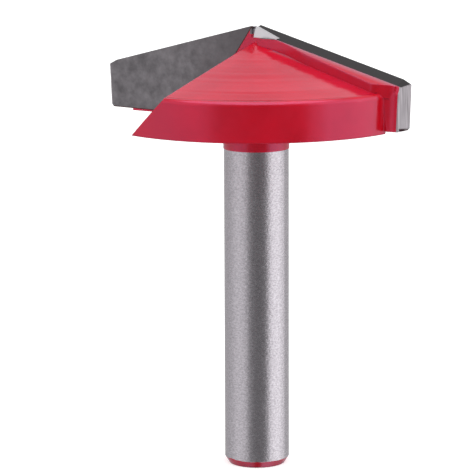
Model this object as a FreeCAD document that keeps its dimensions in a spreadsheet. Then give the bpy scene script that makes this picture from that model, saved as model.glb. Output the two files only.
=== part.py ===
"""V groove router bit: a turned steel body with two brazed carbide tips.

Frame: +Z up along the shank's axis, z = 0 at the shank's end, the V point at the top.
The cutting edges lie along +X and -X. Lengths are in millimetres and angles in degrees.
"""
import FreeCAD, Part
import Sketcher
import math
import os
from FreeCAD import Placement, Rotation, Vector

SIZES = (
    # The shank and the neck
    ("shank_diameter", 6.0),
    ("shank_height", 29.74),
    ("bevel_width", 0.4),
    ("bevel_height", 0.65),
    ("neck_diameter", 6.1),
    ("neck_height", 2.55),
    ("neck_round", 1.2),
    # The wings: a flat-bottomed disc with a cone on top
    ("wing_diameter", 29.04),
    ("rim_height", 3.57),
    ("rim_round", 0.5),
    # The cutting V, and how far it stands above the wings' cone
    ("cutting_diameter", 32.0),
    ("point_angle", 150.0),
    ("wing_drop", 1.34),
    # The carbide tips
    ("tip_thickness", 1.5),
    ("tip_lead", 0.6),
    ("tip_gap", 0.22),
    ("tip_end_angle", 35.5),
    ("tip_ledge", 0.3),
    ("tip_base_rise", 0.8),
    ("tip_corner", 0.15),
    ("edge_break", 0.8),
    ("edge_break_angle", 14.0),
    ("hook_angle", 4.0),
    ("clearance_angle", 12.0),
    ("side_relief", 9.0),
    ("braze_film", 0.08),
    # The rib that backs each tip
    ("rib_land", 0.1),
    ("rib_foot", 0.57),
    ("floor_sink", 0.07),
    ("rib_radius", 1.63),
    # The ear: the rib's outer end, which stands past the wing's rim
    ("ear_rise", 0.25),
    ("ear_web", 0.25),
    ("ear_inset", 0.69),
    ("channel_radius", 1.6),
    ("step_inset", 1.2),
    ("step_angle", 25.8),
    # The gullet in front of each tip
    ("gullet_reach", -0.14),
    ("gullet_depth", 1.59),
    ("gullet_angle", 43.6),
    ("gullet_turn", 4.1),
    # The slim nose at the point, and its bare ground facet
    ("nose_web", 1.1),
    ("nose_angle", 9.4),
    ("nose_relief_depth", 3.6),
    ("facet_web", 0.3),
    ("facet_angle", 15.5),
    ("facet_start", 0.1),
    ("facet_depth", 1.1),
    ("facet_draft", 3.0),
)

WORKED_OUT = (
    ("edge_slope", "=tan(90 - point_angle / 2)"),
    ("hook_sin", "=sin(hook_angle)"),
    ("hook_cos", "=cos(hook_angle)"),
    ("face_slope", "=edge_slope / hook_cos"),
    ("shank_radius", "=shank_diameter / 2"),
    ("neck_radius", "=neck_diameter / 2"),
    ("head_base", "=shank_height + neck_height"),
    ("wing_radius", "=wing_diameter / 2"),
    ("rim_corner", "=head_base + rim_height"),
    ("cone_top", "=rim_corner + wing_radius * edge_slope"),
    ("point_height", "=cone_top + wing_drop"),
    ("rim_tangent", "=rim_round * tan(point_angle / 4)"),
    ("reach", "=sqrt((cutting_diameter / 2) ^ 2 - tip_lead ^ 2)"),
    ("end_tan", "=tan(tip_end_angle)"),
    ("rise_tan", "=tan(tip_base_rise)"),
    ("floor_tan", "=tan(gullet_angle)"),
    ("base_outer", "=-(point_height - head_base - tip_ledge) / hook_cos"),
    ("gap_half", "=tip_gap / 2"),
    ("relief_tan", "=tan(side_relief)"),
    ("back_tan", "=tan(clearance_angle + hook_angle)"),
    ("far", "=cutting_diameter / 2 + 4"),
    ("rib_depth", "=wing_drop + floor_sink"),
    ("rib_bar", "=wing_drop + rim_height - tip_ledge"),
    ("ear_base", "=head_base + ear_rise"),
    ("ear_reach", "=reach - ear_inset"),
    ("step_reach", "=wing_radius - step_inset"),
    ("land_edge", "=tip_lead - tip_thickness - braze_film - rib_land"),
    ("ear_back", "=tip_lead - (tip_thickness + braze_film) / hook_cos - ear_web"),
    ("step_tan", "=tan(step_angle)"),
    ("nose_tan", "=tan(nose_angle)"),
    ("facet_tan", "=tan(facet_angle)"),
)

# How far the cuts run past the faces that they go through
OVER = 1.0
# The strip on the other side of the axis that the two cuts at the nose also clear
NOSE_START = -0.3
NOSE_END = 9.0
FACET_END = 5.0

doc = FreeCAD.newDocument("v_groove_router_bit")
dim = doc.addObject("Spreadsheet::Sheet", "dim")
for row, (alias, content) in enumerate(SIZES + WORKED_OUT, start=1):
    dim.set(f"A{row}", alias)
    dim.set(f"B{row}", str(content))
    dim.setAlias(f"B{row}", alias)
doc.recompute()


def number(formula):
    """The value of a formula of sheet names at the sizes set now."""
    return float(dim.evalExpression(formula))


def new_body(label):
    """An empty body whose label is its node's name."""
    body = doc.addObject("PartDesign::Body", label)
    body.Label = label
    return body


def new_sketch(body, name, role, base=("0", "0", "0"), tilt="0"):
    """A sketch on one of the body's origin planes, shifted by base and turned about its own X by tilt."""
    plane = next(item for item in body.Origin.OriginFeatures if item.Role == role)
    sketch = body.newObject("Sketcher::SketchObject", name)
    sketch.AttachmentSupport = (plane, [""])
    sketch.MapMode = "FlatFace"
    sketch.AttachmentOffset = Placement(Vector(*map(number, base)), Rotation(Vector(1, 0, 0), number(tilt)))
    for axis, formula in zip("xyz", base):
        sketch.setExpression(f"AttachmentOffset.Base.{axis}", formula)
    if tilt != "0":
        sketch.setExpression("AttachmentOffset.Rotation.Angle", tilt)
    return sketch


def rake_sketch(body, name, depth="0"):
    """A sketch on the first tip's rake face, or behind it by depth.

    Its origin is level with the V point, its Y leans forward by the hook angle and its normal points back.
    """
    base = ("0", f"dim.point_height + ({depth}) * dim.hook_sin", f"-dim.tip_lead + ({depth}) * dim.hook_cos")
    return new_sketch(body, name, "XZ_Plane", base, "-dim.hook_angle")


def draw_outline(sketch, corners, arcs=()):
    """Join the corners, pairs of formulas, into a closed outline.

    arcs holds (segment, radius formula, side): side is 1 where the arc's centre lies to the left of the way
    from that corner to the next one, and -1 where it lies to the right.
    """
    places = [Vector(number(x), number(y), 0) for x, y in corners]
    count = len(corners)
    arcs = {segment: (radius, side) for segment, radius, side in arcs}
    ends = []
    for i, start in enumerate(places):
        end = places[(i + 1) % count]
        if i in arcs:
            radius, side = arcs[i]
            size = number(radius)
            half = (end - start) * 0.5
            rise = math.sqrt(size ** 2 - half.Length ** 2)
            centre = start + half + Vector(-half.y, half.x, 0).normalize() * rise * side
            first, last = (start, end) if side > 0 else (end, start)
            turn = [math.atan2(p.y - centre.y, p.x - centre.x) for p in (first, last)]
            curve = Part.ArcOfCircle(Part.Circle(centre, Vector(0, 0, 1), size), *turn)
            sketch.addGeometry(curve, False)
            ends.append((1, 2) if side > 0 else (2, 1))
            bend = sketch.addConstraint(Sketcher.Constraint("Radius", i, size))
            sketch.setExpression(f"Constraints[{bend}]", radius)
        else:
            sketch.addGeometry(Part.LineSegment(start, end), False)
            ends.append((1, 2))
    for i, (x, y) in enumerate(corners):
        before = (i - 1) % count
        sketch.addConstraint(Sketcher.Constraint("Coincident", before, ends[before][1], i, ends[i][0]))
        for kind, formula, size in (("DistanceX", x, places[i].x), ("DistanceY", y, places[i].y)):
            place = sketch.addConstraint(Sketcher.Constraint(kind, -1, 1, i, ends[i][0], size))
            sketch.setExpression(f"Constraints[{place}]", formula)


def pad(body, name, sketch, length, direction):
    """Extrude a sketch along a direction given as three formulas."""
    feature = body.newObject("PartDesign::Pad", name)
    feature.Profile = sketch
    point_along(feature, direction)
    feature.Length = number(length)
    feature.setExpression("Length", length)
    return feature


def pocket(body, name, sketch, length, direction, draft=None):
    """Cut a sketch's outline along a direction given as three formulas."""
    feature = body.newObject("PartDesign::Pocket", name)
    feature.Profile = sketch
    point_along(feature, direction)
    feature.Length = number(length)
    feature.setExpression("Length", length)
    if draft:
        feature.TaperAngle = number(draft)
        feature.setExpression("TaperAngle", draft)
    return feature


def point_along(feature, direction):
    """Set the way that a pad or pocket goes."""
    feature.UseCustomVector = True
    feature.AlongSketchNormal = False
    feature.Direction = Vector(*map(number, direction))
    for axis, formula in zip("xyz", direction):
        feature.setExpression(f"Direction.{axis}", formula)


def revolve(body, name, sketch):
    """Turn a sketch drawn on the XZ plane about the shank's axis."""
    feature = body.newObject("PartDesign::Revolution", name)
    feature.Profile = sketch
    feature.ReferenceAxis = (sketch, ["V_Axis"])
    feature.Angle = 360
    return feature


def half_turn(body, name, originals):
    """Repeat features half a turn round the axis, for the second tip's side."""
    pattern = body.newObject("PartDesign::PolarPattern", name)
    pattern.Originals = originals
    pattern.Axis = (next(item for item in body.Origin.OriginFeatures if item.Role == "Z_Axis"), [""])
    pattern.Angle = 360
    pattern.Occurrences = 2
    body.Tip = pattern
    return pattern


def tip_outline(grow, depth):
    """The tip's outline at a depth behind the rake face, with its seated sides moved out by grow.

    The seated sides are the inner end, the side along the gullet's floor and the base.
    """
    fall = f"({depth}) * dim.back_tan"
    outer = f"(dim.reach - ({depth}) * dim.relief_tan)"
    inner = f"(dim.gap_half - ({grow}) / cos(dim.tip_end_angle) - dim.gap_half * dim.face_slope * dim.end_tan)"
    floor = (f"(-dim.gullet_depth + dim.gullet_reach * dim.floor_tan"
             f" + (dim.braze_film - ({grow})) / cos(dim.gullet_angle))")
    base = f"(dim.base_outer - dim.reach * dim.rise_tan - ({grow}))"
    top_x = f"(({inner} + {fall} * dim.end_tan) / (1 - dim.face_slope * dim.end_tan))"
    floor_x = f"(({inner} - dim.end_tan * {floor}) / (1 - dim.end_tan * dim.floor_tan))"
    base_x = f"(({floor} - {base}) / (dim.rise_tan + dim.floor_tan))"
    break_x = f"({outer} - dim.edge_break * (1 - ({depth}) / (2 * dim.tip_thickness)))"
    break_y = f"(-{outer} * dim.face_slope - {fall} - ({outer} - {break_x}) * tan(dim.edge_break_angle))"
    corner_x = f"({outer} - dim.tip_corner - ({grow}))"
    corner_y = f"(dim.base_outer - (dim.reach - {outer}) * dim.rise_tan + dim.tip_corner * (1 - dim.rise_tan))"
    return (
        (top_x, f"-{top_x} * dim.face_slope - {fall}"),
        (break_x, f"-{break_x} * dim.face_slope - {fall}"),
        (outer, break_y),
        (outer, corner_y),
        (corner_x, f"{base} + {corner_x} * dim.rise_tan"),
        (base_x, f"{base} + {base_x} * dim.rise_tan"),
        (floor_x, f"{floor} - {floor_x} * dim.floor_tan"),
    )


def tip_block(body, name, kind, grow, depth):
    """A block with the tip's outline: add or cut it, from the rake face back to a depth."""
    front = rake_sketch(body, f"{name}_front")
    draw_outline(front, tip_outline(grow, "0"))
    back = rake_sketch(body, f"{name}_back", depth)
    draw_outline(back, tip_outline(grow, depth))
    block = body.newObject(kind, name)
    block.Profile = front
    block.Sections = [back]
    block.Ruled = True
    return block


def nose_facet(body):
    """The bare facet ground behind the tip at the point, which thins the nose."""
    sketch = new_sketch(body, "facet_outline", "XY_Plane", ("0", "0", "dim.point_height - dim.facet_depth"))
    draw_outline(sketch, (
        ("-dim.facet_start", "-dim.facet_web / 2 + dim.facet_start * dim.facet_tan"),
        ("-dim.facet_start", f"-{FACET_END}"),
        (f"{FACET_END}", f"-{FACET_END}"),
        (f"{FACET_END}", f"-dim.facet_web / 2 - {FACET_END} * dim.facet_tan"),
    ))
    return pocket(body, "facet", sketch, f"dim.facet_depth + {OVER}", ("0", "0", "1"), "dim.facet_draft")


def make_bit_body():
    """The steel piece: shank, neck, wings, ribs and ears, with gullets, seats and nose facets cut in."""
    body = new_body("bit_body")

    # Shank with its bevelled end, neck with its round, and the hub inside the wings
    sketch = new_sketch(body, "shank_profile", "XZ_Plane")
    draw_outline(sketch, (
        ("0", "0"),
        ("dim.shank_radius - dim.bevel_width", "0"),
        ("dim.shank_radius", "dim.bevel_height"),
        ("dim.shank_radius", "dim.shank_height"),
        ("dim.neck_radius", "dim.shank_height"),
        ("dim.neck_radius", "dim.head_base - dim.neck_round"),
        ("dim.neck_radius + dim.neck_round", "dim.head_base"),
        ("dim.neck_radius + dim.neck_round", "dim.rim_corner"),
        ("0", "dim.rim_corner"),
    ), arcs=[(5, "dim.neck_round", -1)])
    revolve(body, "shank", sketch)

    # Rib behind the first tip: its section runs parallel to the cutting edge
    sketch = new_sketch(body, "rib_section", "YZ_Plane")
    land_end = ("dim.land_edge", "dim.point_height - (dim.tip_lead - dim.land_edge) * tan(dim.clearance_angle)")
    rib_end = ("dim.land_edge - dim.rib_foot", "dim.point_height - dim.rib_depth")
    draw_outline(sketch, (
        ("dim.tip_lead", "dim.point_height"),
        land_end,
        rib_end,
        ("dim.land_edge - dim.rib_foot", "dim.point_height - dim.rib_bar"),
        ("dim.tip_lead - dim.rib_bar * tan(dim.hook_angle)", "dim.point_height - dim.rib_bar"),
    ), arcs=[(1, "dim.rib_radius", -1)])
    along_edge = ("1", "-dim.face_slope * dim.hook_sin", "-dim.edge_slope")
    rib = pad(body, "rib", sketch, "dim.cutting_diameter / 2 + 2", along_edge)

    # Nose relief: the rib thins towards the point
    sketch = new_sketch(body, "nose_outline", "XY_Plane", ("0", "0", f"dim.point_height + {OVER}"))
    draw_outline(sketch, (
        (f"{NOSE_START}", f"-dim.nose_web / 2 - {NOSE_START} * dim.nose_tan"),
        (f"{NOSE_START}", f"-{NOSE_END}"),
        (f"{NOSE_END}", f"-{NOSE_END}"),
        (f"{NOSE_END}", f"-dim.nose_web / 2 - {NOSE_END} * dim.nose_tan"),
    ))
    nose = pocket(body, "nose_relief", sketch, f"dim.nose_relief_depth + {OVER}", ("0", "0", "-1"))

    # Ear: the rib's outer end in line with the tip's relief, with a milled channel behind it
    sketch = new_sketch(body, "ear_outline", "XY_Plane", ("0", "0", "dim.point_height"))
    relief = "(dim.reach - (dim.tip_lead - ({})) * dim.hook_cos * dim.relief_tan)".format
    draw_outline(sketch, (
        (relief(f"{OVER}"), f"{OVER}"),
        ("dim.far", f"{OVER}"),
        ("dim.far", "-dim.far"),
        ("dim.ear_reach - dim.channel_radius", "-dim.far"),
        ("dim.ear_reach - dim.channel_radius", "dim.ear_back - dim.channel_radius"),
        ("dim.ear_reach", "dim.ear_back"),
        (relief("dim.ear_back"), "dim.ear_back"),
    ), arcs=[(4, "dim.channel_radius", -1)])
    ear = pocket(body, "ear_channel", sketch, "dim.far", ("0", "-dim.hook_sin", "-dim.hook_cos"))
    half_turn(body, "second_rib", [rib, nose, ear])

    # Wings: a disc with a rounded rim and a cone parallel to the cutting edges
    sketch = new_sketch(body, "wing_profile", "XZ_Plane")
    draw_outline(sketch, (
        ("0", "dim.head_base"),
        ("dim.wing_radius", "dim.head_base"),
        ("dim.wing_radius", "dim.rim_corner - dim.rim_tangent"),
        ("dim.wing_radius - dim.rim_round * (1 - sin(90 - dim.point_angle / 2))",
         "dim.rim_corner - dim.rim_tangent + dim.rim_round * cos(90 - dim.point_angle / 2)"),
        ("0", "dim.cone_top"),
    ), arcs=[(2, "dim.rim_round", 1)])
    revolve(body, "wings", sketch)

    # Floor behind the rib: milled flat, parallel to the cutting edge, a little under the cone
    sketch = new_sketch(body, "floor_section", "YZ_Plane")
    draw_outline(sketch, (
        ("dim.land_edge", f"dim.point_height + {OVER}"),
        land_end,
        rib_end,
        ("-dim.wing_radius / 2", "dim.point_height - dim.rib_depth"),
        ("-dim.wing_radius / 2", f"dim.point_height + {OVER}"),
    ), arcs=[(1, "dim.rib_radius", -1)])
    floor = pocket(body, "rib_floor", sketch, "dim.cutting_diameter / 2 + 2", along_edge)

    # Gullet: all that stands in front of the rake face and above the gullet's floor
    sketch = rake_sketch(body, "gullet_outline")
    draw_outline(sketch, (
        ("dim.gullet_reach", f"{OVER}"),
        ("dim.gullet_reach", "-dim.gullet_depth"),
        ("dim.far", "-dim.gullet_depth - (dim.far - dim.gullet_reach) * dim.floor_tan"),
        ("dim.far", f"{OVER}"),
    ))
    gullet = pocket(body, "gullet", sketch, "dim.far", ("tan(dim.gullet_turn)", "1", "-dim.edge_slope"))

    # Seat: the pocket that the tip is brazed in
    sketch = rake_sketch(body, "seat_outline")
    seat = tip_outline("dim.braze_film", "0")
    base_at_far = "dim.base_outer - dim.braze_film + (dim.far - dim.reach) * dim.rise_tan"
    end_at_top = (f"dim.gap_half - dim.braze_film / cos(dim.tip_end_angle)"
                  f" - (dim.gap_half * dim.face_slope + {OVER}) * dim.end_tan")
    draw_outline(sketch, (
        (end_at_top, f"{OVER}"),
        ("dim.far", f"{OVER}"),
        ("dim.far", base_at_far),
        seat[5],
        seat[6],
    ))
    backwards = ("0", "-dim.hook_cos", "dim.hook_sin")
    seat = pocket(body, "seat", sketch, "dim.tip_thickness + dim.braze_film", backwards)

    # Step: the underside stands higher below the ear
    sketch = new_sketch(body, "step_outline", "XY_Plane", ("0", "0", "dim.ear_base"))
    step_x = "dim.step_reach + (dim.tip_lead - ({})) * dim.step_tan".format
    draw_outline(sketch, (
        (step_x(f"{OVER}"), f"{OVER}"),
        (step_x("-dim.far / 4"), "-dim.far / 4"),
        ("dim.far", "-dim.far / 4"),
        ("dim.far", f"{OVER}"),
    ))
    step = pocket(body, "ear_step", sketch, "dim.ear_rise + 2", ("0", "0", "-1"))

    facet = nose_facet(body)
    half_turn(body, "second_side", [floor, gullet, seat, step, facet])
    return body


def make_tip(label):
    """A carbide tip: rake face, top clearance, outer relief, base and oblique inner end."""
    body = new_body(label)
    tip_block(body, "plate", "PartDesign::AdditiveLoft", "0", "dim.tip_thickness")
    half_turn(body, "both_facets", [nose_facet(body)])
    return body


def make_braze(label):
    """The braze film between a tip and its seat."""
    body = new_body(label)
    depth = "(dim.tip_thickness + dim.braze_film)"
    tip_block(body, "fill", "PartDesign::AdditiveLoft", "dim.braze_film", depth)
    tip_block(body, "plate_space", "PartDesign::SubtractiveLoft", "0", "dim.tip_thickness")
    half_turn(body, "both_facets", [nose_facet(body)])
    return body


nodes = [make_bit_body()]
for side, turn in enumerate((0, 180), start=1):
    for maker, label in ((make_tip, "carbide_tip"), (make_braze, "braze_seam")):
        node = maker(f"{label}_{side}")
        node.Placement = Placement(Vector(0, 0, 0), Rotation(Vector(0, 0, 1), turn))
        nodes.append(node)
doc.recompute()

for item in doc.Objects:
    for state in item.State:
        if state in ("Invalid", "Error"):
            raise RuntimeError(f"{item.Name} is {state}")

os.makedirs("parts", exist_ok=True)
for node in nodes:
    shape = node.Shape
    if shape.isNull() or not shape.isValid() or len(shape.Solids) != 1:
        raise RuntimeError(f"{node.Label} is not one valid solid")
    shape.exportStep(f"parts/{node.Label}.step")
    box = shape.BoundBox
    print(f"{node.Label}: {shape.Volume:.2f} mm3, x {box.XMin:.2f} {box.XMax:.2f},"
          f" y {box.YMin:.2f} {box.YMax:.2f}, z {box.ZMin:.2f} {box.ZMax:.2f}")
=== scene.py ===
"""Finishes and studio for a V groove router bit with a red painted head and two carbide tips.

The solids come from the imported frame. This file gives each of them its finish, adds the upright backs of the
ribs and the bare facets at the nose, and sets up the floor, the light and the camera. Lengths are in metres:
+Z runs up the shank's axis from its flat end to the V point, and the cutting edges lie along +X and -X.
"""
import math

import bmesh
import bpy
import numpy as np
from bpy.props import FloatProperty, FloatVectorProperty, IntProperty, PointerProperty
from mathutils import Matrix, Vector


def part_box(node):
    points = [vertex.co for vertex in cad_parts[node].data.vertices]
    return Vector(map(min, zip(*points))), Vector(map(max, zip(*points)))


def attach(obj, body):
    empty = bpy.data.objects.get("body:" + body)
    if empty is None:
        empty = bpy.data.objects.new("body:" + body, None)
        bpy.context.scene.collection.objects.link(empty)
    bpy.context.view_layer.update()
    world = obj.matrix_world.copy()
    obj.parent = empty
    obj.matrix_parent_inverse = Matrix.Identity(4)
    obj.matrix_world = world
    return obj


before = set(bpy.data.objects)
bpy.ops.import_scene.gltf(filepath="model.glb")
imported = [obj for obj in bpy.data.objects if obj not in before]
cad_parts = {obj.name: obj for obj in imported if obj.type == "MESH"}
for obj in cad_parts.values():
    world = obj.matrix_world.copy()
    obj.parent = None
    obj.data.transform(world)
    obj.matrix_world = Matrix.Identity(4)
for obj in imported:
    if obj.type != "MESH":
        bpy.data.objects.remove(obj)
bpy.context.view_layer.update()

bl_info = {
    "name": "V Groove Router Bit",
    "version": (1, 0, 0),
    "blender": (4, 5, 0),
    "location": "3D View > Sidebar > Router Bit",
    "description": "Finishes and studio for a V groove router bit",
    "category": "Object",
}

POINT_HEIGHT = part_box("carbide_tip_1")[1].z

# A noise's values lie mostly between these two
NOISE_LOW = 0.3
NOISE_HIGH = 0.7

# How far a finish's roughness falls and rises over its patches
GLOSS_DOWN = 0.03
GLOSS_UP = 0.04

# Edges that turn by more than this stay sharp
SHARP_EDGE = math.radians(35.0)

# The studio's brightness by the turn in degrees from the camera's side
LIGHT_AROUND = (
    (-180, 0.60), (-138, 0.52), (-110, 0.60), (-68, 0.87), (-43, 0.76), (-22, 0.25), (0, 0.15),
    (32, 0.18), (44, 0.75), (54, 1.30), (88, 1.38), (104, 1.12), (117, 0.66), (140, 0.54), (180, 0.60),
)

# How that brightness changes with the height of the direction
LIGHT_BY_HEIGHT = ((0.0, 1.0), (0.2, 1.0), (0.43, 1.32), (0.58, 1.10), (0.68, 0.92))

# The share of the narrow dark gap high up behind, by height and by distance to either side
GAP_BY_HEIGHT = ((0.0, 0.0), (0.66, 0.0), (0.70, 1.0), (1.0, 1.0))
GAP_BY_WIDTH = ((0.0, 1.0), (0.045, 1.0), (0.08, 0.0), (1.0, 0.0))

# The share of the box overhead, by how far the direction faces it
TOP_BOX = ((0.0, 0.0), (0.78, 0.0), (0.85, 1.0), (1.0, 1.0))


# Settings

def length(name, description, default):
    """A length in metres, as a property."""
    return FloatProperty(name=name, description=description, default=default, min=0.0,
                         subtype="DISTANCE", unit="LENGTH", precision=5)


def share(name, description, default, top=1.0):
    """A share or strength with no unit, as a property."""
    return FloatProperty(name=name, description=description, default=default, min=0.0, max=top, precision=3)


def marks(name, description, default):
    """How many marks of a pattern there are in a metre, as a property."""
    return FloatProperty(name=name, description=description, default=default, min=0.0)


def angle(name, description, degrees):
    """An angle, given in degrees, as a property."""
    return FloatProperty(name=name, description=description, default=math.radians(degrees),
                         subtype="ANGLE", unit="ROTATION")


def count(name, description, default, least):
    """A whole number, as a property."""
    return IntProperty(name=name, description=description, default=default, min=least)


def colour(name, description, default):
    """A linear colour, as a property."""
    return FloatVectorProperty(name=name, description=description, default=default, min=0.0, max=1.0,
                               size=3, subtype="COLOR")


def corner(name, default):
    """A corner of the facet: its run along the facet, its drop below the point and its level off the axis."""
    return FloatVectorProperty(name=name, description="Run along the facet, drop and distance from the axis",
                               default=default, size=3, unit="LENGTH", precision=5)


class PaintSettings(bpy.types.PropertyGroup):
    """The red paint on the head, the neck and the shank's end."""
    colour: colour("Colour", "Red where the paint is of usual thickness", (0.62, 0.003, 0.012))
    thick_colour: colour("Thick colour", "Deeper red where the paint has gathered", (0.53, 0.002, 0.008))
    patch_marks: marks("Patch marks", "Patches of gathered paint in a metre", 260.0)
    roughness: share("Roughness", "Roughness of the cured paint", 0.15)
    cloud_marks: marks("Cloud marks", "Duller and glossier patches in a metre", 900.0)
    index: share("Index", "Refractive index of the paint", 1.78, 3.0)
    tint: colour("Gloss tint", "Tint of the paint's reflections", (1.0, 0.48, 0.92))
    sheen: share("Sheen", "Strength of the paint's haze", 0.22)
    sheen_roughness: share("Sheen roughness", "Spread of the paint's haze", 0.3)
    sheen_tint: colour("Sheen tint", "Tint of the paint's haze", (0.5, 0.25, 1.0))
    peel_size: length("Peel size", "Width of one bump of the paint's orange peel", 0.0009)
    peel_height: length("Peel height", "Height of the orange peel", 0.000004)
    ring_pitch: length("Ring pitch", "Distance between the turning marks under the paint", 0.0014)
    ring_height: length("Ring height", "Height of the turning marks under the paint", 0.00006)
    ring_stray: share("Ring stray", "How far the turning marks change round their circle", 0.05)
    rim_line_radius: length("Rim line radius", "Radius of the line where the cone meets the rim", 0.01408)
    # the line of gathered paint and painted shade in the groove where the cone meets the rim
    rim_line_width: length("Rim line width", "Width of that line, where the paint has gathered", 0.00012)
    rim_line_height: length("Rim line height", "Height of that line above the shank's end", 0.0359)
    rim_line_reach: length("Rim line reach", "How far from its height that line can show", 0.0002)
    rim_line_depth: length("Rim line depth", "Depth of that line", 0.00002)
    # painted shade in that groove, over the gathered paint
    rim_groove_shade: share("Rim line dark", "Brightness of that line beside the thick colour", 0.45)
    rim_line_marks: marks("Rim line marks", "Breaks in that line in a metre", 320.0)
    # thin paint lightened with a painted reflection of the light on the upward land behind the tips
    thin_reflection_colour: colour("Thin colour", "Paint over the braze behind the tips", (0.45, 0.125, 0.155))
    thin_start: length("Thin start", "From the plane through the axis to where it starts", 0.0008)
    thin_edge: length("Thin edge", "From the plane through the axis to where it is half gone", 0.00145)
    thin_width: length("Thin width", "Half the width over which it ends", 0.00035)
    thin_drift: share("Thin drift", "How far it moves back for each length outwards", 0.01873)
    thin_lean: share("Thin lean", "Least upward lean of the faces that have it", 0.85)
    thin_reach: length("Thin reach", "Distance from the axis beyond which it shows", 0.0028)
    edge_round: length("Edge round", "How far the paint rounds the edges off", 0.0002)
    neck_edge: length("Neck edge", "Height above the shank's end at which the head's paint stops", 0.02974)
    end_edge: length("End edge", "Height above the shank's end at which the end's paint stops", 0.00065)
    edge_soft: length("Edge soft", "Half the width over which the paint stops", 0.00001)
    edge_wander: length("Edge wander", "How far the edge of the paint strays", 0.00008)
    edge_marks: marks("Edge marks", "Bends of that edge in a metre", 700.0)


class SteelSettings(bpy.types.PropertyGroup):
    """The bare ground steel of the shank and of the facets at the nose."""
    colour: colour("Colour", "Bare ground steel", (0.675, 0.636, 0.685))
    metallic: share("Metallic", "How far the satin shank mirrors like bright metal", 0.92)
    roughness: share("Roughness", "Roughness of the ground shank", 0.24)
    grain_size: length("Grain size", "Width of one mark of the satin shank", 0.00014)
    grain_height: length("Grain height", "Depth of the satin's marks", 0.000021)
    grain_dark: share("Grain dark", "Brightness of the satin marks' dark side", 0.64)
    grain_stretch: share("Grain stretch", "Width of a mark beside its length round the shank", 0.6)
    patch_share: share("Patch share", "Size of a mark beside a patch of duller satin", 0.08)
    facet_colour: colour("Facet colour", "Steel of the facets ground at the nose", (0.80, 0.78, 0.81))
    facet_roughness: share("Facet roughness", "Roughness of the facets", 0.35)
    facet_marks: marks("Facet marks", "Grinding marks of the facets in a metre", 9000.0)
    facet_depth: length("Facet depth", "Depth of those marks", 0.000001)
    facet_half: length("Facet half thickness", "Half the thickness left between the nose's facets", 0.000165)
    facet_slack: length("Facet slack", "How near to that plane a face has to lie", 0.00006)
    facet_base: length("Facet base", "How far the facets reach below the point", 0.00125)
    facet_reach: length("Facet reach", "How far out the facets reach from the axis", 0.0029)
    facet_angle: angle("Facet angle", "Turn of the facets from the cutting edges", 15.5)
    core_radius: length("Core radius", "Radius of the bare core between the tips' inner ends", 0.00064)
    core_depth: length("Core depth", "How far the bare core reaches below the point", 0.00075)
    core_roughness: share("Core roughness", "Roughness of the bare core", 0.4)


class CarbideSettings(bpy.types.PropertyGroup):
    """The two ground carbide tips."""
    rake_colour: colour("Rake colour", "Flat face in front of the cutting edge", (0.196, 0.183, 0.195))
    # painted shade: the upward clearance faces get this dark colour for the dark that they reflect
    clearance_shade_colour: colour("Clearance colour", "Narrow face behind the edge", (0.055, 0.050, 0.053))
    relief_colour: colour("Relief colour", "Freshly ground outer end", (0.55, 0.507, 0.540))
    roughness: share("Roughness", "Roughness of the ground carbide", 0.42)
    blotch_size: length("Blotch size", "Width of one blotch of the rake face", 0.0011)
    blotch_dark: share("Blotch dark", "Brightness of the dark blotches", 0.70)
    blotch_light: share("Blotch light", "Brightness of the light blotches", 1.35, 2.0)
    # painted shade on the rake face towards the point
    shade_end: length("Shade end", "Distance from the axis at which the darker part is half gone", 0.0045)
    shade_run: length("Shade run", "Half the distance over which it ends", 0.003)
    shade_dark: share("Shade dark", "Brightness of the darker part towards the point", 0.62)
    shade_share: share("Shade share", "How far the darker part covers the blotches", 0.7)
    grain_marks: marks("Grain marks", "Grains of the ground carbide in a metre", 7000.0)
    grain_height: length("Grain height", "Height of a grain", 0.000003)
    # the faces leaning up this far get the painted shade of the clearance faces
    top_lean: share("Top lean", "Upward lean at which a face is half a clearance face", 0.7)
    top_run: share("Top run", "Half the lean over which it becomes one", 0.05)
    back_lean: share("Back lean", "Least lean away from the rake face of the painted back", 0.7)
    grind_pitch: length("Grind pitch", "Distance between the outer end's grinding lines", 0.00009)
    grind_height: length("Grind height", "Depth of the grinding lines", 0.000005)
    grind_stretch: share("Grind stretch", "Width of a grinding line beside its length", 0.03)
    grind_dark: share("Grind dark", "Brightness of the dark grinding lines", 0.45)
    relief_roughness: share("Relief roughness", "Roughness of the outer end", 0.38)
    relief_reach: length("Relief reach", "From the axis to the plane of the outer end", 0.015865)
    relief_angle: angle("Relief angle", "Lean of the outer end away from the edge", 9.0)


class BrazeSettings(bpy.types.PropertyGroup):
    """The film of braze between each tip and its seat."""
    colour: colour("Colour", "Dull braze with paint run over it", (0.10, 0.030, 0.028))
    dark: share("Dark", "Brightness of the braze's hollows", 0.6)
    metallic: share("Metallic", "How far the braze mirrors like bright metal", 0.6)
    roughness: share("Roughness", "Roughness of the braze", 0.5)
    lump_marks: marks("Lump marks", "Lumps of the braze in a metre", 2500.0)
    lump_height: length("Lump height", "Height of a lump", 0.00001)


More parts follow.
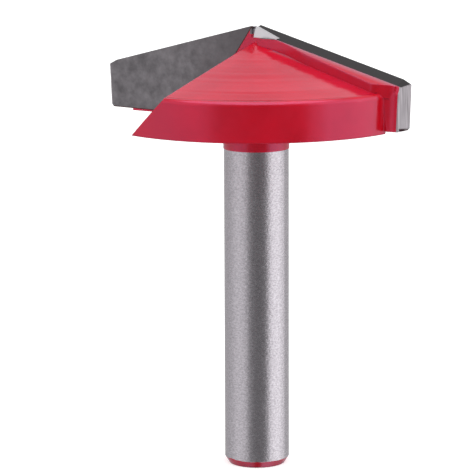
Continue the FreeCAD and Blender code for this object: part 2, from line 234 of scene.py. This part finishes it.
class CheekSettings(bpy.types.PropertyGroup):
    """The upright back that the paint gives each rib behind its tip."""
    edge_top: length("Edge top", "Height at which the two cutting edges would meet", 0.04109)
    edge_slope: angle("Edge slope", "How fast the cutting edge falls outwards", 15.0)
    clearance: angle("Clearance", "Slope of the land behind the cutting edge", 12.0)
    lead: length("Lead", "From the plane through the axis to the cutting edge", 0.0006)
    drift: share("Drift", "How far the rib moves back for each length outwards", 0.01873)
    front: length("Front", "From the plane through the axis to the cheek's front", 0.00103)
    start: length("Start", "Distance from the axis at which the cheek starts", 0.0008)
    flush: length("Flush", "Distance from the axis up to which the cheek only covers the tip's back", 0.0030)
    knee: length("Knee", "Distance from the axis at which the nose's thinning ends", 0.0044)
    full: length("Full", "Distance from the axis from which the rib is full", 0.00565)
    end: length("End", "Distance from the axis at which the cheek ends", 0.0153)
    flush_web: length("Flush web", "From the plane through the axis to the back near the point", 0.00113)
    knee_web: length("Knee web", "From the plane through the axis to the back at the knee", 0.00128)
    full_web: length("Full web", "The same where the rib is full", 0.00169)
    end_web: length("End web", "The same at the far end", 0.00287)
    channel_radius: length("Channel radius", "Radius of the milled channel behind the ear", 0.0013)
    channel_web: length("Channel web", "From the plane through the axis to the channel's centre", 0.002555)
    foot: length("Foot", "Depth of the cheek's foot below the edge", 0.0017)
    facet_foot: length("Facet foot", "Height of the facet's lower edge at the axis", 0.03974)
    facet_rise: share("Facet rise", "How fast the facet's lower edge rises outwards", 0.1)
    stations: count("Stations", "Sections along the cheek", 97, 9)
    bend_stations: count("Bend stations", "Stations that each bend is smoothed over", 9, 1)
    lift: length("Lift", "Thickness of the paint over the land", 0.000012)


class NoseSettings(bpy.types.PropertyGroup):
    """The bare facet ground on each side of the point."""
    back: length("Back", "From the axis to the back of the facet's plate", 0.00004)
    top: corner("Top corner", (0.000416, 0.000055, 0.00040))
    inner: corner("Lower corner at the axis", (0.000001, 0.00129, 0.00042))
    outer: corner("Lower corner at the tip", (0.003054, 0.00097, 0.000175))


class StudioSettings(bpy.types.PropertyGroup):
    """The floor, the light and the camera."""
    floor_radius: length("Floor radius", "Radius of the round floor", 2.5)
    floor_rings: count("Floor rings", "Rings that the floor is divided into", 24, 2)
    floor_spokes: count("Floor spokes", "Parts that each ring is divided into", 96, 3)
    floor_colour: colour("Floor colour", "Pale floor", (0.62, 0.62, 0.62))
    floor_dark: share("Floor dark", "Brightness of the floor's darker patches", 0.98)
    floor_marks: marks("Floor marks", "Patches of the floor in a metre", 40.0)
    floor_lift: share("Floor lift", "Light that the camera sees the floor give off", 0.62)
    light: share("Light", "Strength of the studio's light", 1.0, 5.0)
    gap_light: share("Gap light", "Brightness of the dark gap high up behind", 0.05)
    top_light: share("Top light", "Brightness of the box overhead", 2.3, 5.0)
    top_lean: angle("Top lean", "Lean of the box overhead towards the camera", 12.0)
    camera_distance: length("Camera distance", "From the camera to the shank's axis", 0.263219)
    camera_height: length("Target height", "Height on the axis that the camera is level with", 0.021573)
    camera_elevation: angle("Camera elevation", "How far the camera looks down", 10.411)
    camera_yaw: angle("Camera yaw", "Turn of the view from the shank's axis", -0.441)
    camera_roll: angle("Camera roll", "Turn of the picture", -0.218)
    camera_near: length("Camera near", "Distance from which on the camera sees", 0.01)
    bit_turn: angle("Bit turn", "How far the +X edge is turned towards the camera", 31.268)
    lens: FloatProperty(name="Lens", description="Focal length in millimetres", default=217.59, min=1.0)
    sensor: FloatProperty(name="Sensor", description="Width of the sensor in millimetres", default=36.0,
                          min=1.0)


# Node helpers

def new_material(name):
    """An empty node material."""
    material = bpy.data.materials.new(name)
    material.use_nodes = True
    material.node_tree.nodes.clear()
    return material, material.node_tree


def put(tree, kind, inputs=None, **settings):
    """Add a node with its settings; each input is set, or linked where it is a socket."""
    node = tree.nodes.new(kind)
    for key, value in settings.items():
        setattr(node, key, value)
    for key, value in (inputs or {}).items():
        socket = node.inputs[key]
        if isinstance(value, bpy.types.NodeSocket):
            tree.links.new(value, socket)
        else:
            socket.default_value = value
    return node


def calc(tree, operation, *values):
    """A Math node's output."""
    return put(tree, "ShaderNodeMath", dict(enumerate(values)), operation=operation).outputs[0]


def times(tree, first, *others):
    """The product of several values."""
    for other in others:
        first = calc(tree, "MULTIPLY", first, other)
    return first


def rest_of(tree, part):
    """What is left of 1 beside a share."""
    return calc(tree, "SUBTRACT", 1.0, part)


def apart(tree, value, other):
    """How far two values are apart."""
    return calc(tree, "ABSOLUTE", calc(tree, "SUBTRACT", value, other))


def stretch(tree, value, low=NOISE_LOW, high=NOISE_HIGH, first=0.0, last=1.0):
    """From first to last as a value goes from low to high, and level beyond both."""
    return put(tree, "ShaderNodeMapRange", {"Value": value, "From Min": low, "From Max": high,
                                            "To Min": first, "To Max": last}, clamp=True).outputs["Result"]


def step_up(tree, value, edge, soft):
    """0 below an edge and 1 above it, with a soft run between."""
    return stretch(tree, value, edge - soft, edge + soft)


def patchy_gloss(tree, patches, roughness):
    """A roughness that changes a little with a noise."""
    return stretch(tree, patches, first=roughness - GLOSS_DOWN, last=roughness + GLOSS_UP)


def blend(tree, share_in, first, second):
    """Mix two colours, each a socket or three numbers."""
    sides = [side if isinstance(side, bpy.types.NodeSocket) else (*side, 1.0) for side in (first, second)]
    node = put(tree, "ShaderNodeMix", data_type="RGBA")
    for index, value in zip((0, 6, 7), (share_in, *sides)):
        if isinstance(value, bpy.types.NodeSocket):
            tree.links.new(value, node.inputs[index])
        else:
            node.inputs[index].default_value = value
    return node.outputs[2]


def dimmed(full, factor):
    """A colour times a factor."""
    return tuple(factor * part for part in full)


def noise(tree, place, scale, detail=2.0, roughness=0.5):
    """A noise's value at a place."""
    node = put(tree, "ShaderNodeTexNoise", {"Vector": place, "Scale": scale, "Detail": detail,
                                            "Roughness": roughness})
    return node.outputs["Fac"]


def place_of(tree):
    """The object's coordinates, whole and split."""
    place = put(tree, "ShaderNodeTexCoord").outputs["Object"]
    split = put(tree, "ShaderNodeSeparateXYZ", {0: place})
    return place, split.outputs[0], split.outputs[1], split.outputs[2]


def facing_of(tree):
    """The way that the face looks, split."""
    way = put(tree, "ShaderNodeNewGeometry").outputs["True Normal"]
    split = put(tree, "ShaderNodeSeparateXYZ", {0: way})
    return split.outputs[0], split.outputs[1], split.outputs[2]


def joined(tree, x, y, z):
    """Three values as one vector."""
    return put(tree, "ShaderNodeCombineXYZ", {0: x, 1: y, 2: z}).outputs[0]


def radius_of(tree, x, y):
    """The distance from the shank's axis."""
    return calc(tree, "SQRT", calc(tree, "ADD", times(tree, x, x), times(tree, y, y)))


def bump(tree, height, distance, normal=None):
    """A bumped normal."""
    inputs = {"Height": height, "Distance": distance, "Strength": 1.0}
    if normal is not None:
        inputs["Normal"] = normal
    return put(tree, "ShaderNodeBump", inputs).outputs[0]


def surface(tree, base, roughness, inputs):
    """A Principled surface of a colour, three numbers or a socket, with its other inputs."""
    tone = base if isinstance(base, bpy.types.NodeSocket) else (*base, 1.0)
    return put(tree, "ShaderNodeBsdfPrincipled", {"Base Color": tone, "Roughness": roughness,
                                                  **inputs}).outputs[0]


def lay(tree, share_in, under, over):
    """One shader, with another laid over it where the share is 1."""
    return put(tree, "ShaderNodeMixShader", {0: share_in, 1: under, 2: over}).outputs[0]


def finish(tree, shader):
    """Link a shader to the material's output."""
    put(tree, "ShaderNodeOutputMaterial", {"Surface": shader})


def dress(node, material):
    """Give a CAD node its one material."""
    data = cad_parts[node].data
    data.materials.clear()
    data.materials.append(material)


# Finishes

def rim_line(tree, paint, place, radius, z):
    """1 on the uneven line where the cone meets the rim, a small groove where the paint gathers and which is
    darkened with painted shade, and 0 elsewhere.
    """
    half = paint.rim_line_width / 2
    line = rest_of(tree, step_up(tree, apart(tree, radius, paint.rim_line_radius), half, half))
    uneven = step_up(tree, noise(tree, place, paint.rim_line_marks), edge=0.45, soft=0.25)
    level = calc(tree, "LESS_THAN", apart(tree, z, paint.rim_line_height), paint.rim_line_reach)
    return times(tree, line, uneven, level)


def thin_paint_and_reflection(tree, paint, radius, x, y):
    """1 on the upward faces close behind the tips, where the paint runs thin over the braze and a painted
    reflection lightens it, and 0 elsewhere.

    The band is measured back from the plane through the axis, and it moves back outwards as the rib does.
    """
    behind = times(tree, y, calc(tree, "SIGN", x), -1.0)
    behind = calc(tree, "SUBTRACT", behind, times(tree, calc(tree, "ABSOLUTE", x), paint.thin_drift))
    near = rest_of(tree, step_up(tree, behind, paint.thin_edge, paint.thin_width))
    past = calc(tree, "GREATER_THAN", behind, paint.thin_start)
    upward = calc(tree, "GREATER_THAN", facing_of(tree)[2], paint.thin_lean)
    outside = calc(tree, "GREATER_THAN", radius, paint.thin_reach)
    return times(tree, near, past, upward, outside)


def paint_shader(tree, paint, place, x, y, z):
    """Glossy paint: deeper where it has gathered, with orange peel over faint turning marks.

    The turning marks are a noise that hardly changes but with the radius, so they run in rings round the
    axis. They are fainter on the rim, where the radius hardly changes.
    """
    rounded = put(tree, "ShaderNodeBevel", {"Radius": paint.edge_round}, samples=6).outputs[0]
    radius = radius_of(tree, x, y)
    ringwise = joined(tree, times(tree, x, paint.ring_stray), times(tree, y, paint.ring_stray), radius)
    rings = noise(tree, ringwise, 1.0 / paint.ring_pitch, detail=1.5)
    peel = noise(tree, place, 1.0 / paint.peel_size)
    normal = bump(tree, rings, paint.ring_height, rounded)
    normal = bump(tree, peel, paint.peel_height, normal)
    depth = stretch(tree, noise(tree, place, paint.patch_marks, detail=3.0), low=0.35, high=0.65)
    base = blend(tree, depth, tuple(paint.colour), tuple(paint.thick_colour))
    line = rim_line(tree, paint, place, radius, z)
    # painted shade and gathered paint in the groove where the cone meets the rim
    base = blend(tree, line, base, dimmed(paint.thick_colour, paint.rim_groove_shade))
    normal = bump(tree, rest_of(tree, line), paint.rim_line_depth, normal)
    # thin paint with a painted reflection on the upward land behind the tips
    base = blend(tree, thin_paint_and_reflection(tree, paint, radius, x, y), base, tuple(paint.thin_reflection_colour))
    gloss = patchy_gloss(tree, noise(tree, place, paint.cloud_marks), paint.roughness)
    return surface(tree, base, gloss, {
        "IOR": paint.index,
        "Specular Tint": (*paint.tint, 1.0),
        "Sheen Weight": paint.sheen,
        "Sheen Roughness": paint.sheen_roughness,
        "Sheen Tint": (*paint.sheen_tint, 1.0),
        "Normal": normal,
    })


def steel_shader(tree, steel, x, y, z):
    """Satin ground steel: short fine marks that are a little longer round the shank than along it."""
    squeezed = joined(tree, times(tree, x, steel.grain_stretch), times(tree, y, steel.grain_stretch), z)
    fine = noise(tree, squeezed, 1.0 / steel.grain_size, roughness=0.6)
    broad = noise(tree, squeezed, steel.patch_share / steel.grain_size)
    shade = stretch(tree, fine, low=0.25, high=0.75)
    base = blend(tree, shade, dimmed(steel.colour, steel.grain_dark), tuple(steel.colour))
    return surface(tree, base, patchy_gloss(tree, broad, steel.roughness), {
        "Metallic": steel.metallic,
        "Normal": bump(tree, fine, steel.grain_height),
    })


def facet_share(tree, steel, x, y, z):
    """1 on the nose's facets and 0 elsewhere.

    They lie at half their thickness from the plane through the axis that is turned from the cutting edges by
    the facets' angle, down to the facets' base.
    """
    turned = calc(tree, "ADD", times(tree, x, math.sin(steel.facet_angle)),
                  times(tree, y, math.cos(steel.facet_angle)))
    off = apart(tree, calc(tree, "ABSOLUTE", turned), steel.facet_half)
    return times(tree, calc(tree, "LESS_THAN", off, steel.facet_slack),
                 calc(tree, "LESS_THAN", radius_of(tree, x, y), steel.facet_reach),
                 calc(tree, "GREATER_THAN", z, POINT_HEIGHT - steel.facet_base))


def end_share(tree, carbide, x, y):
    """1 on the tips' outer ends and the steel behind them, ground to one plane, and 0 elsewhere."""
    reach = apart(tree, x, times(tree, y, math.tan(carbide.relief_angle)))
    return calc(tree, "GREATER_THAN", reach, carbide.relief_reach)


def core_share(tree, steel, x, y, z):
    """1 on the bare core between the two tips' inner ends, close to the point, and 0 elsewhere."""
    return times(tree, calc(tree, "LESS_THAN", radius_of(tree, x, y), steel.core_radius),
                 calc(tree, "GREATER_THAN", z, POINT_HEIGHT - steel.core_depth))


def back_share(tree, carbide, x):
    """1 on faces that look away from the rake face, which lie under the body's paint, and 0 elsewhere."""
    forward = times(tree, facing_of(tree)[1], calc(tree, "SIGN", x))
    return calc(tree, "LESS_THAN", forward, -carbide.back_lean)


def facet_shader(tree, steel, place):
    """The nose's bare facets: pale steel with fine grinding marks."""
    return surface(tree, steel.facet_colour, steel.facet_roughness, {
        "Metallic": 1.0,
        "Normal": bump(tree, noise(tree, place, steel.facet_marks), steel.facet_depth),
    })


def relief_shader(tree, carbide, x, y, z):
    """A freshly ground outer end: pale, with upright grinding lines."""
    upright = joined(tree, x, y, times(tree, z, carbide.grind_stretch))
    lines = noise(tree, upright, 1.0 / carbide.grind_pitch)
    dull = dimmed(carbide.relief_colour, carbide.grind_dark)
    base = blend(tree, stretch(tree, lines), dull, tuple(carbide.relief_colour))
    return surface(tree, base, carbide.relief_roughness, {
        "Metallic": 1.0,
        "Normal": bump(tree, lines, carbide.grind_height),
    })


def with_ground_faces(tree, steel, carbide, shader, place, x, y, z):
    """A shader under the nose facets and the outer ends, which run on over steel, braze and tip."""
    shader = lay(tree, facet_share(tree, steel, x, y, z), shader, facet_shader(tree, steel, place))
    return lay(tree, end_share(tree, carbide, x, y), shader, relief_shader(tree, carbide, x, y, z))


def body_finish(paint, steel, carbide):
    """The steel body's finish: paint, but bare on the shank, the core, the nose facets and the outer ends.

    The bare shank lies between two heights, of which the lower one strays a little.
    """
    material, tree = new_material("painted_steel")
    place, x, y, z = place_of(tree)
    # The noise strays by about a quarter from its middle, so four times the wander gives the edge its own
    stray = calc(tree, "SUBTRACT", noise(tree, place, paint.edge_marks, detail=3.0), 0.5)
    wander = times(tree, stray, 4.0 * paint.edge_wander)
    above_end = step_up(tree, calc(tree, "ADD", z, wander), paint.end_edge, paint.edge_soft)
    past_neck = step_up(tree, z, paint.neck_edge + paint.edge_soft, paint.edge_soft / 2)
    coat = paint_shader(tree, paint, place, x, y, z)
    ground = steel_shader(tree, steel, x, y, z)
    shader = lay(tree, times(tree, above_end, rest_of(tree, past_neck)), coat, ground)
    dull = surface(tree, carbide.rake_colour, steel.core_roughness, {"Metallic": 1.0})
    shader = lay(tree, core_share(tree, steel, x, y, z), shader, dull)
    finish(tree, with_ground_faces(tree, steel, carbide, shader, place, x, y, z))
    return material


def seat_finish(tree, paint, steel, carbide, front, place, x, y, z):
    """Finish what lies in the seat: its front as given, its back painted, the ground faces over both."""
    coat = paint_shader(tree, paint, place, x, y, z)
    shader = lay(tree, back_share(tree, carbide, x), front, coat)
    finish(tree, with_ground_faces(tree, steel, carbide, shader, place, x, y, z))


def carbide_finish(paint, steel, carbide):
    """Ground carbide: a blotched grey rake face, darker towards the point with painted shade, under a
    clearance face darkened with painted shade.
    """
    material, tree = new_material("carbide")
    place, x, y, z = place_of(tree)
    rake = carbide.rake_colour
    blotch = noise(tree, place, 1.0 / carbide.blotch_size, detail=4.0, roughness=0.6)
    base = blend(tree, stretch(tree, blotch), dimmed(rake, carbide.blotch_dark),
                 dimmed(rake, carbide.blotch_light))
    # painted shade: the rake face darkens towards the point
    outward = step_up(tree, calc(tree, "ABSOLUTE", x), carbide.shade_end, carbide.shade_run)
    shaded = times(tree, rest_of(tree, outward), carbide.shade_share)
    base = blend(tree, shaded, base, dimmed(rake, carbide.shade_dark))
    # painted shade: faces that lean upwards, the clearance faces, turn dark
    shaded_top = step_up(tree, facing_of(tree)[2], carbide.top_lean, carbide.top_run)
    base = blend(tree, shaded_top, base, tuple(carbide.clearance_shade_colour))
    grain = noise(tree, place, carbide.grain_marks, detail=3.0)
    ground = surface(tree, base, carbide.roughness, {
        "Metallic": 1.0,
        "Normal": bump(tree, grain, carbide.grain_height),
    })
    seat_finish(tree, paint, steel, carbide, ground, place, x, y, z)
    return material


def braze_finish(paint, steel, carbide, braze):
    """Dull uneven braze where the seam shows in front."""
    material, tree = new_material("braze")
    place, x, y, z = place_of(tree)
    lumps = noise(tree, place, braze.lump_marks, detail=3.0)
    base = blend(tree, stretch(tree, lumps), dimmed(braze.colour, braze.dark), tuple(braze.colour))
    seam = surface(tree, base, braze.roughness, {
        "Metallic": braze.metallic,
        "Normal": bump(tree, lumps, braze.lump_height),
    })
    seat_finish(tree, paint, steel, carbide, seam, place, x, y, z)
    return material


# Forms that the solids leave to the paint and the grinding

def skin(name, sections):
    """A closed surface through a row of sections with equally many corners, with both of its ends capped.

    Corner j of section i is joined to corner j + 1 and to the same two corners of section i + 1.
    """
    rows, corners = sections.shape[:2]
    i, j = np.meshgrid(np.arange(rows - 1), np.arange(corners), indexing="ij")
    k = (j + 1) % corners
    sides = np.stack([i * corners + j, i * corners + k, (i + 1) * corners + k, (i + 1) * corners + j], -1)
    ends = [np.arange(corners).tolist(), np.arange((rows - 1) * corners, rows * corners).tolist()]
    mesh = bpy.data.meshes.new(name)
    mesh.from_pydata(sections.reshape(-1, 3).tolist(), [], sides.reshape(-1, 4).tolist() + ends)
    shape = bmesh.new()
    shape.from_mesh(mesh)
    bmesh.ops.recalc_face_normals(shape, faces=shape.faces)
    shape.to_mesh(mesh)
    shape.free()
    mesh.shade_smooth()
    mesh.set_sharp_from_angle(angle=SHARP_EDGE)
    return mesh


def cheek_sections(cheek):
    """The cheek's sections at stations x along the edge: (x, y, z) of four corners each.

    Its top lies on the land, z = edge top - x tan(slope) - (lead - drift x - y) tan(clearance). Its back is
    upright, at the rib's web or at the channel's circle, whichever lies nearer to the tip, with its bends
    smoothed over a few stations. Close to the point its top stays below the facet.
    """
    x = np.linspace(cheek.start, cheek.end, cheek.stations)
    shift = cheek.drift * x
    front = -cheek.front - shift
    web = -np.interp(x, [0.0, cheek.flush, cheek.knee, cheek.full, cheek.end],
                     [cheek.flush_web, cheek.flush_web, cheek.knee_web, cheek.full_web, cheek.end_web])
    across = np.clip(cheek.channel_radius ** 2 - (x - cheek.end) ** 2, 0.0, None)
    channel = np.where(across > 0.0, -cheek.channel_web - shift + np.sqrt(across), web)
    back = np.minimum(np.maximum(web, channel), front)
    bend = np.ones(cheek.bend_stations) / cheek.bend_stations
    padded = np.pad(back, cheek.bend_stations // 2, mode="edge")
    back = np.convolve(padded, bend, mode="valid")[:cheek.stations]
    edge = cheek.edge_top - x * math.tan(cheek.edge_slope)
    slope = math.tan(cheek.clearance)
    below_facet = cheek.facet_foot + cheek.facet_rise * x
    land = edge + cheek.lift - (cheek.lead - shift) * slope
    tops = [np.minimum(land + y * slope, below_facet) for y in (front, back)]
    foot = edge - cheek.foot
    places = [(x, front, tops[0]), (x, back, tops[1]), (x, back, foot), (x, front, foot)]
    return np.stack([np.stack(place, -1) for place in places], 1)


def nose_sections(nose, facet_angle):
    """The facet's plate: its three corners in front, and the same three behind.

    A corner lies at run along the facet + level out from the axis, and at the point's height less its drop.
    Behind, the level is the plate's back.
    """
    along = np.array([math.cos(facet_angle), -math.sin(facet_angle), 0.0])
    out = np.array([-math.sin(facet_angle), -math.cos(facet_angle), 0.0])
    run, drop, level = np.array([nose.top, nose.inner, nose.outer]).T[:, :, None]
    flat = run * along + np.array([0.0, 0.0, POINT_HEIGHT]) - drop * np.array([0.0, 0.0, 1.0])
    return np.stack([flat + level * out, flat + nose.back * out])


def fit_pair(name, sections, material):
    """Two pieces half a turn apart, which ride with the bit and wear the given material."""
    for side, turn in ((1, 1.0), (2, -1.0)):
        mesh = skin(f"{name}_{side}", sections * np.array([turn, turn, 1.0]))
        mesh.materials.append(material)
        piece = bpy.data.objects.new(f"{name}_{side}", mesh)
        bpy.context.scene.collection.objects.link(piece)
        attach(piece, "root")


# Studio

def floor_mesh(radius, rings, spokes):
    """A flat round floor: (r cos t, r sin t, 0), with r growing as the square of the ring's number."""
    r = radius * np.linspace(0.0, 1.0, rings + 1)[1:] ** 2
    t = np.linspace(0.0, 2.0 * math.pi, spokes, endpoint=False)
    rr, tt = np.meshgrid(r, t, indexing="ij")
    points = np.stack([rr * np.cos(tt), rr * np.sin(tt), np.zeros_like(rr)], axis=-1).reshape(-1, 3)
    points = np.vstack([points, [[0.0, 0.0, 0.0]]])
    i, j = np.meshgrid(np.arange(rings - 1), np.arange(spokes), indexing="ij")
    k = (j + 1) % spokes
    quads = np.stack([i * spokes + j, (i + 1) * spokes + j, (i + 1) * spokes + k, i * spokes + k], -1)
    j = np.arange(spokes)
    centre = np.stack([np.full(spokes, rings * spokes), j, (j + 1) % spokes], -1)
    mesh = bpy.data.meshes.new("floor")
    mesh.from_pydata(points.tolist(), [], quads.reshape(-1, 4).tolist() + centre.tolist())
    return mesh


def floor_finish(studio):
    """Pale floor that the camera sees as white, with the object's soft shadow on it."""
    material, tree = new_material("floor")
    pale = tuple(studio.floor_colour)
    patches = noise(tree, place_of(tree)[0], studio.floor_marks)
    base = blend(tree, patches, dimmed(pale, studio.floor_dark), pale)
    matt = put(tree, "ShaderNodeBsdfDiffuse", {"Color": base}).outputs[0]
    seen = put(tree, "ShaderNodeLightPath").outputs["Is Camera Ray"]
    lift = put(tree, "ShaderNodeEmission", {"Color": (1.0, 1.0, 1.0, 1.0), "Strength": studio.floor_lift})
    both = put(tree, "ShaderNodeAddShader", {0: matt, 1: lift.outputs[0]}).outputs[0]
    finish(tree, lay(tree, seen, matt, both))
    return material


def ramp(tree, value, stops):
    """A ramp of greys through the stops, pairs of place and brightness."""
    node = put(tree, "ShaderNodeValToRGB", {0: value})
    node.color_ramp.interpolation = "EASE"
    elements = node.color_ramp.elements
    while len(elements) < len(stops):
        elements.new(0.5)
    for element, (place, level) in zip(elements, stops):
        element.position = place
        element.color = (level, level, level, 1.0)
    return node.outputs[0]


def bright_ramp(tree, value, stops):
    """A ramp whose stops may be brighter than 1: they are halved in it, and what it gives is doubled."""
    return times(tree, ramp(tree, value, [(place, level / 2.0) for place, level in stops]), 2.0)


def mixed(tree, share_in, first, second):
    """Mix two values."""
    return put(tree, "ShaderNodeMix", {0: share_in, 2: first, 3: second}, data_type="FLOAT").outputs[0]


def light_studio(studio):
    """Soft light from all round: a box on each side, one above, and dark in front, with dim paper behind.

    High up straight behind there is a narrow dark gap. The light depends on its direction alone. Its turn is
    the angle round the axis from the camera's side, from -180 to 180 degrees, and its height is the
    direction's Z.
    """
    world = bpy.data.worlds.new("studio")
    bpy.context.scene.world = world
    world.use_nodes = True
    tree = world.node_tree
    tree.nodes.clear()
    way = put(tree, "ShaderNodeTexCoord").outputs["Generated"]
    back = put(tree, "ShaderNodeVectorRotate", {"Vector": way, "Angle": -studio.bit_turn},
               rotation_type="Z_AXIS").outputs[0]
    split = put(tree, "ShaderNodeSeparateXYZ", {0: back})
    across, away, height = split.outputs[0], split.outputs[1], split.outputs[2]
    turn = calc(tree, "ARCTAN2", across, times(tree, away, -1.0))
    turn = calc(tree, "ADD", calc(tree, "DIVIDE", turn, 2.0 * math.pi), 0.5)
    around = bright_ramp(tree, turn, [(at / 360.0 + 0.5, level) for at, level in LIGHT_AROUND])
    level = times(tree, around, bright_ramp(tree, height, LIGHT_BY_HEIGHT))
    gap = times(tree, ramp(tree, height, GAP_BY_HEIGHT),
                ramp(tree, calc(tree, "ABSOLUTE", across), GAP_BY_WIDTH),
                calc(tree, "GREATER_THAN", away, 0.0))
    level = mixed(tree, gap, level, studio.gap_light)
    facing = calc(tree, "ADD", times(tree, height, math.cos(studio.top_lean)),
                  times(tree, away, -math.sin(studio.top_lean)))
    level = mixed(tree, ramp(tree, facing, TOP_BOX), level, studio.top_light)
    seen = put(tree, "ShaderNodeLightPath").outputs["Is Camera Ray"]
    strength = mixed(tree, seen, times(tree, level, studio.light), 1.0)
    sky = put(tree, "ShaderNodeBackground", {"Color": (1.0, 1.0, 1.0, 1.0), "Strength": strength}).outputs[0]
    put(tree, "ShaderNodeOutputWorld", {"Surface": sky})


def add_camera(studio):
    """The camera: on a circle round the axis, level with a height on it, looking down by its elevation."""
    turn = Matrix.Rotation(studio.bit_turn, 3, "Z")
    flat = studio.camera_distance * math.cos(studio.camera_elevation)
    height = studio.camera_height + studio.camera_distance * math.sin(studio.camera_elevation)
    spot = Vector((0.0, -flat, height))
    ahead = Vector((math.sin(studio.camera_yaw) * math.cos(studio.camera_elevation),
                    math.cos(studio.camera_yaw) * math.cos(studio.camera_elevation),
                    -math.sin(studio.camera_elevation)))
    right = ahead.cross(Vector((0.0, 0.0, 1.0))).normalized()
    up = right.cross(ahead)
    cosine, sine = math.cos(studio.camera_roll), math.sin(studio.camera_roll)
    right, up = cosine * right + sine * up, cosine * up - sine * right
    pose = (turn @ Matrix((right, up, -ahead)).transposed()).to_4x4()
    pose.translation = turn @ spot
    data = bpy.data.cameras.new("camera")
    data.lens = studio.lens
    data.sensor_width = studio.sensor
    data.sensor_fit = "HORIZONTAL"
    data.clip_start = studio.camera_near
    camera = bpy.data.objects.new("camera", data)
    camera.matrix_world = pose
    bpy.context.scene.collection.objects.link(camera)
    bpy.context.scene.camera = camera


# Operators

class ROUTERBIT_OT_finish_body(bpy.types.Operator):
    """Paint the head, neck and shank's end, and leave the shank and the nose's facets bare"""
    bl_idname = "routerbit.finish_body"
    bl_label = "Finish the Body"

    def execute(self, context):
        scene = context.scene
        dress("bit_body", body_finish(scene.bit_paint, scene.bit_steel, scene.bit_carbide))
        return {"FINISHED"}


class ROUTERBIT_OT_finish_tips(bpy.types.Operator):
    """Give the two carbide tips their ground faces"""
    bl_idname = "routerbit.finish_tips"
    bl_label = "Finish the Tips"

    def execute(self, context):
        scene = context.scene
        material = carbide_finish(scene.bit_paint, scene.bit_steel, scene.bit_carbide)
        for node in ("carbide_tip_1", "carbide_tip_2"):
            dress(node, material)
        return {"FINISHED"}


class ROUTERBIT_OT_finish_seams(bpy.types.Operator):
    """Give the two braze seams their dull finish"""
    bl_idname = "routerbit.finish_seams"
    bl_label = "Finish the Seams"

    def execute(self, context):
        scene = context.scene
        material = braze_finish(scene.bit_paint, scene.bit_steel, scene.bit_carbide, scene.bit_braze)
        for node in ("braze_seam_1", "braze_seam_2"):
            dress(node, material)
        return {"FINISHED"}


class ROUTERBIT_OT_fit_cheeks(bpy.types.Operator):
    """Give each rib its upright back, under the body's paint"""
    bl_idname = "routerbit.fit_cheeks"
    bl_label = "Fit the Cheeks"

    def execute(self, context):
        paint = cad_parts["bit_body"].data.materials[0]
        fit_pair("rib_cheek", cheek_sections(context.scene.bit_cheek), paint)
        return {"FINISHED"}


class ROUTERBIT_OT_fit_facets(bpy.types.Operator):
    """Lay the bare facet over the steel and the tip on each side of the point"""
    bl_idname = "routerbit.fit_facets"
    bl_label = "Fit the Facets"

    def execute(self, context):
        steel = context.scene.bit_steel
        material, tree = new_material("ground_facet")
        finish(tree, facet_shader(tree, steel, place_of(tree)[0]))
        fit_pair("nose_facet", nose_sections(context.scene.bit_nose, steel.facet_angle), material)
        return {"FINISHED"}


class ROUTERBIT_OT_build_studio(bpy.types.Operator):
    """Set up the floor, the light and the camera"""
    bl_idname = "routerbit.build_studio"
    bl_label = "Build the Studio"

    def execute(self, context):
        studio = context.scene.bit_studio
        shape = floor_mesh(studio.floor_radius, studio.floor_rings, studio.floor_spokes)
        floor = bpy.data.objects.new("floor", shape)
        floor.data.materials.append(floor_finish(studio))
        floor.visible_glossy = False
        context.scene.collection.objects.link(floor)
        light_studio(studio)
        add_camera(studio)
        context.scene.view_settings.view_transform = "Standard"
        return {"FINISHED"}


class ROUTERBIT_PT_panel(bpy.types.Panel):
    """The router bit's finishes and studio"""
    bl_label = "Router Bit"
    bl_idname = "ROUTERBIT_PT_panel"
    bl_space_type = "VIEW_3D"
    bl_region_type = "UI"
    bl_category = "Router Bit"

    def draw(self, context):
        for operator in OPERATORS:
            self.layout.operator(operator.bl_idname)
        for group in GROUPS:
            settings = getattr(context.scene, group)
            box = self.layout.box()
            for name in settings.__annotations__:
                box.prop(settings, name)


GROUPS = {
    "bit_paint": PaintSettings,
    "bit_steel": SteelSettings,
    "bit_carbide": CarbideSettings,
    "bit_braze": BrazeSettings,
    "bit_cheek": CheekSettings,
    "bit_nose": NoseSettings,
    "bit_studio": StudioSettings,
}
OPERATORS = (
    ROUTERBIT_OT_finish_body,
    ROUTERBIT_OT_finish_tips,
    ROUTERBIT_OT_finish_seams,
    ROUTERBIT_OT_fit_cheeks,
    ROUTERBIT_OT_fit_facets,
    ROUTERBIT_OT_build_studio,
)


def register():
    for settings in (*GROUPS.values(), *OPERATORS, ROUTERBIT_PT_panel):
        bpy.utils.register_class(settings)
    for name, settings in GROUPS.items():
        setattr(bpy.types.Scene, name, PointerProperty(type=settings))


def unregister():
    for name in GROUPS:
        delattr(bpy.types.Scene, name)
    for settings in reversed((*GROUPS.values(), *OPERATORS, ROUTERBIT_PT_panel)):
        bpy.utils.unregister_class(settings)


def main():
    """Register the add-on, finish the pieces and build the studio."""
    register()
    bpy.ops.routerbit.finish_body()
    bpy.ops.routerbit.finish_tips()
    bpy.ops.routerbit.finish_seams()
    bpy.ops.routerbit.fit_cheeks()
    bpy.ops.routerbit.fit_facets()
    bpy.ops.routerbit.build_studio()


if __name__ == "__main__":
    main()
